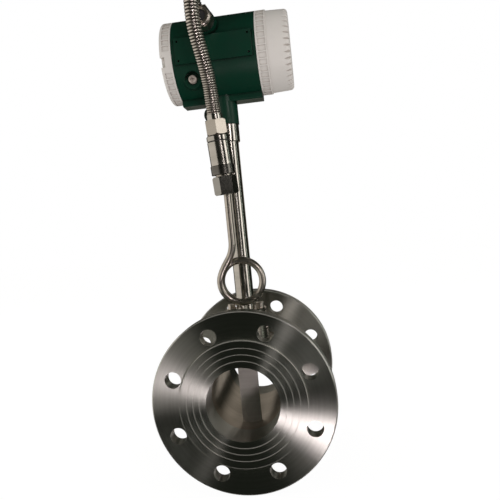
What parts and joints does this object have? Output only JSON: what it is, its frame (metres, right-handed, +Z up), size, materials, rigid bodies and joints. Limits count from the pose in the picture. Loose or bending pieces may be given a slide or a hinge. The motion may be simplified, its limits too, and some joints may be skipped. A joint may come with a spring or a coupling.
{
  "type": "vortex flow meter",
  "caption": "Flanged vortex flow meter: bluff bar across the bore, tall stem, round two-chamber display housing, looped siphon, and a pressure sensor wired through a metal hose.",
  "frame": {"origin": "centre of the inlet flange's raised gasket face", "axes": "+Y along the pipe in the flow direction, +Z up the stem, +X towards the display cover"},
  "size_m": [0.2, 0.2, 0.6395],
  "materials": {
    "flange_steel": "turned stainless steel with fine radial sheen",
    "body_steel": "machined stainless steel",
    "bar_steel": "ground stainless steel",
    "stem_steel": "polished stainless steel",
    "screw_steel": "bright screw steel",
    "fitting_nickel": "nickel plated brass",
    "hose_steel": "interlocked stainless strip",
    "green_paint": "smooth dark green enamel",
    "cream_paint": "satin cream white powder coat",
    "seal_rubber": "matt black",
    "window_glass": "clear toughened glass",
    "ring_aluminium": "turned aluminium",
    "board_green": "solder-masked board",
    "black_plastic": "fine matt moulding",
    "panel_grey": "grey-green display panel",
    "key_grey": "matt key cap",
    "spacer_brass": "turned brass"
  },
  "bodies": {
    "base": {"inlet_flange": "flange_steel", "outlet_flange": "flange_steel", "body_tube": "body_steel", "body_welds": "body_steel", "stem_boss": "body_steel", "stem_flange": "body_steel", "siphon_boss": "body_steel", "bluff_bar": "bar_steel", "sensing_probe": "bar_steel", "stem_tube": "stem_steel", "stem_collar": "stem_steel", "siphon_tube": "stem_steel", "siphon_nut": "stem_steel", "sensor_nipple": "stem_steel", "sensor_ring": "stem_steel", "sensor_barrel": "stem_steel", "sensor_cap": "stem_steel", "hose_connector": "stem_steel", "hose_cuff": "stem_steel", "stem_screws": "screw_steel", "lock_screw": "screw_steel", "ground_screw": "screw_steel", "ground_washer": "screw_steel", "terminal_screws": "screw_steel", "gland_body": "fitting_nickel", "gland_nut": "fitting_nickel", "hose_elbow": "fitting_nickel", "hose_nut": "fitting_nickel", "hose_tube": "hose_steel", "housing": "green_paint", "gland_seal": "seal_rubber", "sensor_seal": "seal_rubber", "probe_gasket": "seal_rubber", "terminal_board": "board_green", "power_board": "board_green", "main_board": "board_green", "display_bezel": "black_plastic", "gland_plug": "black_plastic", "terminal_block": "black_plastic", "lcd_panel": "panel_grey", "board_pillars": "spacer_brass"},
    "display_seal": {"display_seal": "seal_rubber"},
    "display_cover": {"display_cover": "cream_paint", "window_gasket": "seal_rubber", "window_glass": "window_glass", "window_ring": "ring_aluminium"},
    "terminal_seal": {"terminal_seal": "seal_rubber"},
    "terminal_cover": {"terminal_cover": "cream_paint"},
    "key_left": {"key_left": "key_grey"},
    "key_middle": {"key_middle": "key_grey"},
    "key_right": {"key_right": "key_grey"}
  },
  "joints": [
    {"name": "display_cover_travel", "type": "slide", "parent": "base", "child": "display_seal", "axis": [1, 0, 0], "range_m": [0, 0.0101]},
    {"name": "display_cover_turn", "type": "hinge", "parent": "display_seal", "child": "display_cover", "pos_m": [0, 0.1, 0.391], "axis": [1, 0, 0], "range_deg": [0, 1800]},
    {"name": "terminal_cover_travel", "type": "slide", "parent": "base", "child": "terminal_seal", "axis": [-1, 0, 0], "range_m": [0, 0.0101]},
    {"name": "terminal_cover_turn", "type": "hinge", "parent": "terminal_seal", "child": "terminal_cover", "pos_m": [0, 0.1, 0.391], "axis": [-1, 0, 0], "range_deg": [0, 1800]},
    {"name": "key_left_press", "type": "slide", "parent": "base", "child": "key_left", "axis": [-1, 0, 0], "range_m": [0, 0.001], "stiffness_N_per_m": 300},
    {"name": "key_middle_press", "type": "slide", "parent": "base", "child": "key_middle", "axis": [-1, 0, 0], "range_m": [0, 0.001], "stiffness_N_per_m": 300},
    {"name": "key_right_press", "type": "slide", "parent": "base", "child": "key_right", "axis": [-1, 0, 0], "range_m": [0, 0.001], "stiffness_N_per_m": 300}
  ],
  "couplings": [
    {"joint": "display_cover_travel", "follows": "display_cover_turn", "m_per_rad": 0.00031831},
    {"joint": "terminal_cover_travel", "follows": "terminal_cover_turn", "m_per_rad": 0.00031831}
  ]
}
